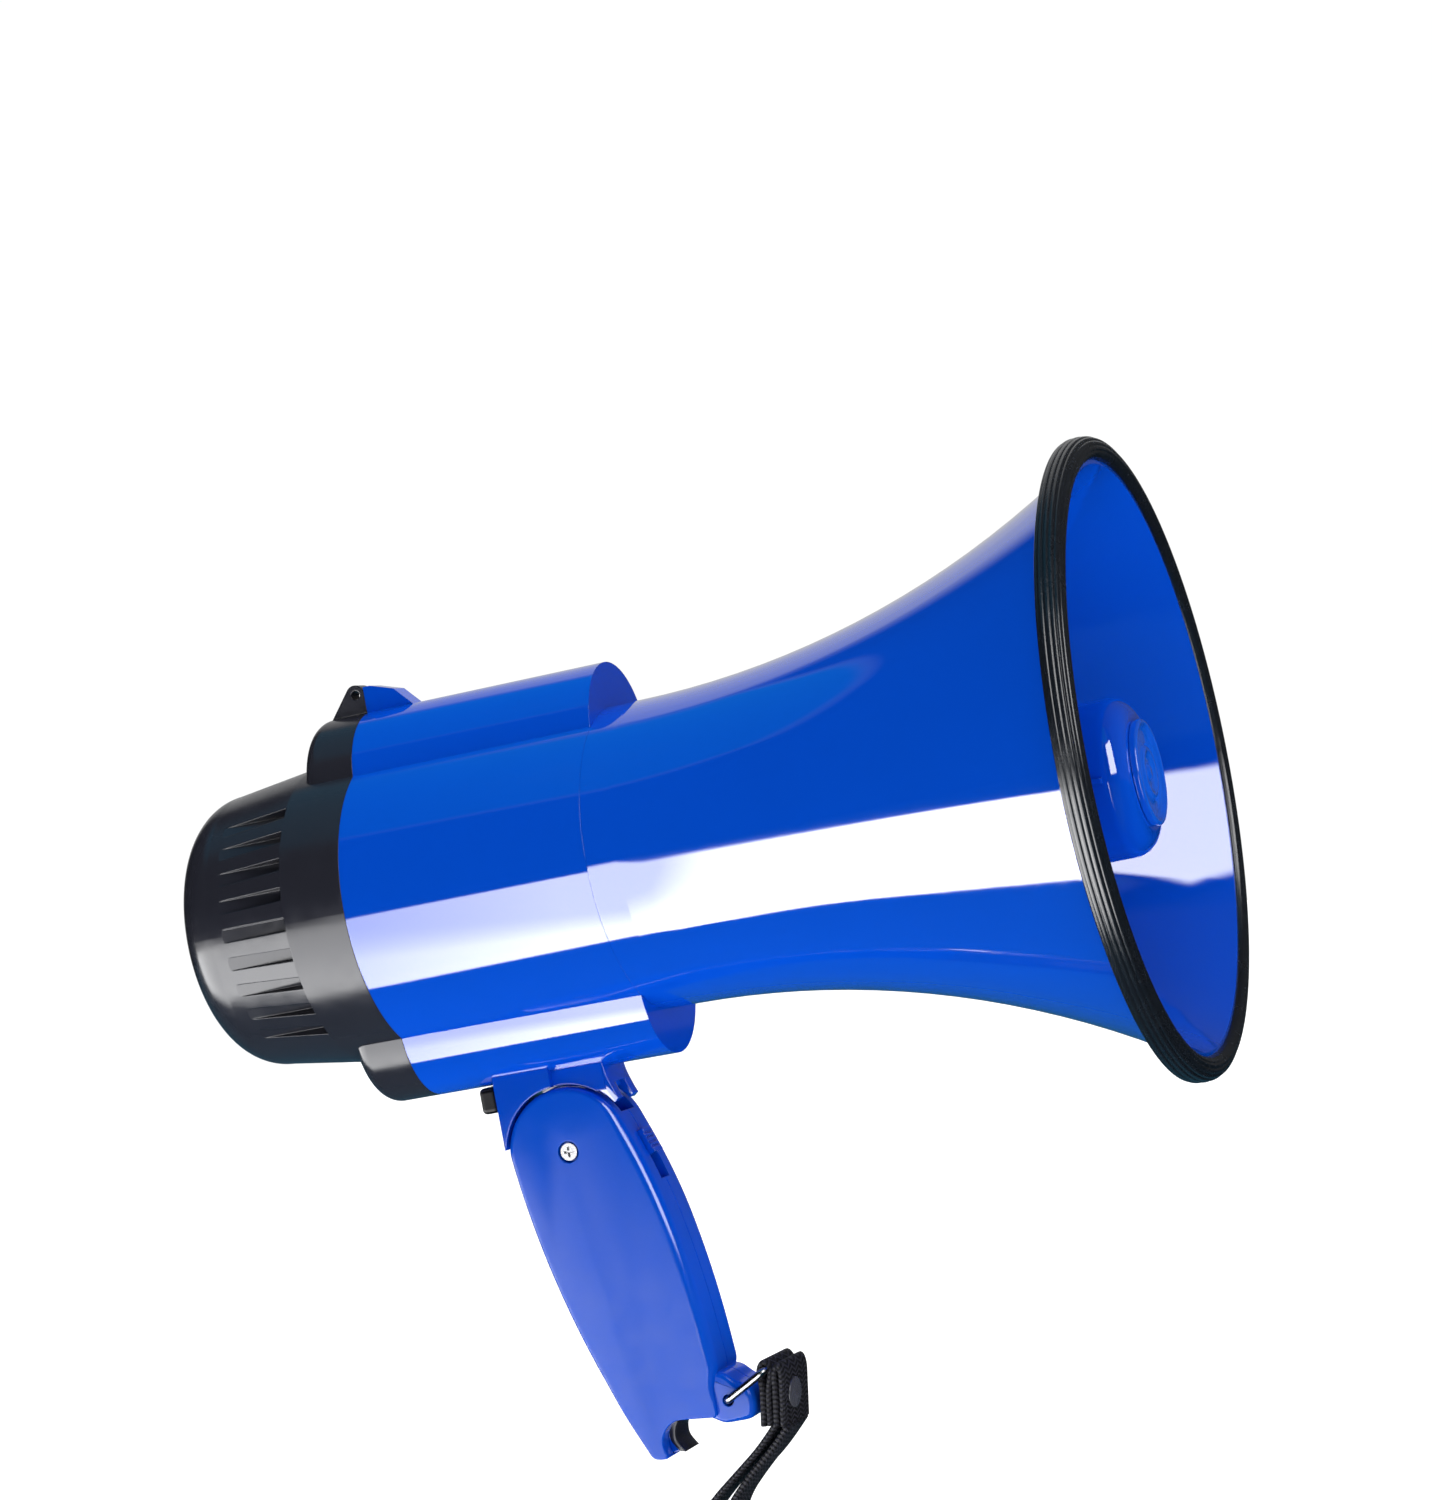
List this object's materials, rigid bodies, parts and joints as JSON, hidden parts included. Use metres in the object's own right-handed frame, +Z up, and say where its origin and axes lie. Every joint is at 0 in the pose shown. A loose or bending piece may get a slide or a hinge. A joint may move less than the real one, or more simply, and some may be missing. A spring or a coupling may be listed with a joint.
{
  "type": "cheer megaphone",
  "caption": "Pistol-grip megaphone with a flared horn, reflector in its mouth, battery casing, domed rear cover, folding handle and wrist strap",
  "frame": {"origin": "middle of the grip, where the palm closes on the handle", "axes": "+X points out of the mouth along the horn's axis, +Z up from the grip to the horn, Y across"},
  "size_m": [0.259, 0.16, 0.3769],
  "materials": {
    "blue_plastic": "gloss",
    "disc_plastic": "gloss",
    "black_plastic": "gloss",
    "carrier_plastic": "matte",
    "rim_rubber": "matte",
    "steel": "satin",
    "magnet": "matte",
    "copper": "satin",
    "circuit_board": "matte",
    "aluminium": "satin",
    "cell_case": "satin",
    "webbing": "matte",
    "rivet": "gloss"
  },
  "bodies": {
    "casing": {"horn_bell": "blue_plastic", "reflector_cup": "blue_plastic", "body_shell": "blue_plastic", "handle_bracket": "blue_plastic", "reflector_disc": "disc_plastic", "driver_cap": "black_plastic", "throat_tube": "black_plastic", "battery_carrier_top": "carrier_plastic", "battery_carrier_bottom": "carrier_plastic", "siren_switch": "carrier_plastic", "rim_guard": "rim_rubber", "driver_plate": "steel", "driver_yoke": "steel", "driver_screws": "steel", "bracket_screws": "steel", "front_contact_top": "steel", "front_contact_bottom": "steel", "driver_magnet": "magnet", "amp_board": "circuit_board", "amp_components": "circuit_board", "heat_sink": "aluminium", "cell_top_1": "cell_case", "cell_top_2": "cell_case", "cell_top_3": "cell_case", "cell_bottom_1": "cell_case", "cell_bottom_2": "cell_case", "cell_bottom_3": "cell_case"},
    "diaphragm": {"diaphragm": "carrier_plastic", "voice_coil": "copper"},
    "cover": {"rear_cover": "black_plastic", "strap_lug": "black_plastic", "microphone": "aluminium", "mic_grommet": "rim_rubber", "volume_pot": "steel", "rear_contact_top": "steel", "rear_contact_bottom": "steel"},
    "knob": {"volume_knob": "black_plastic"},
    "handle": {"handle_right": "blue_plastic", "handle_left": "blue_plastic", "pivot_screw": "steel", "pivot_nut": "steel", "handle_screws": "steel", "heel_insert": "black_plastic", "talk_switch": "carrier_plastic"},
    "slider": {"talk_slider": "blue_plastic"},
    "siren": {"siren_button": "black_plastic"},
    "bail": {"bail": "steel", "strap_tab": "webbing", "strap_rivet": "rivet", "wrist_strap": "webbing"}
  },
  "joints": [
    {"name": "diaphragm_stroke", "type": "slide", "parent": "casing", "child": "diaphragm", "axis": [1, 0, 0], "range_m": [-0.0004, 0.0004], "stiffness_N_per_m": 4000},
    {"name": "cover_pull", "type": "slide", "parent": "casing", "child": "cover", "axis": [-1, 0, 0], "range_m": [0, 0.06]},
    {"name": "volume_turn", "type": "hinge", "parent": "cover", "child": "knob", "pos_m": [-0.095, 0, 0.09], "axis": [-1, 0, 0], "range_deg": [0, 280]},
    {"name": "handle_fold", "type": "hinge", "parent": "casing", "child": "handle", "pos_m": [-0.0096, 0, 0.0344], "axis": [0, -1, 0], "range_deg": [0, 35]},
    {"name": "talk_slide", "type": "slide", "parent": "handle", "child": "slider", "axis": [0.3551, 0, -0.9348], "range_m": [0, 0.0065]},
    {"name": "siren_press", "type": "slide", "parent": "casing", "child": "siren", "axis": [1, 0, 0], "range_m": [0, 0.0018], "stiffness_N_per_m": 700, "springref_m": -0.0003},
    {"name": "bail_swing", "type": "hinge", "parent": "handle", "child": "bail", "pos_m": [0.0202, 0, -0.0341], "axis": [0, -1, 0], "range_deg": [-20, 45]}
  ]
}
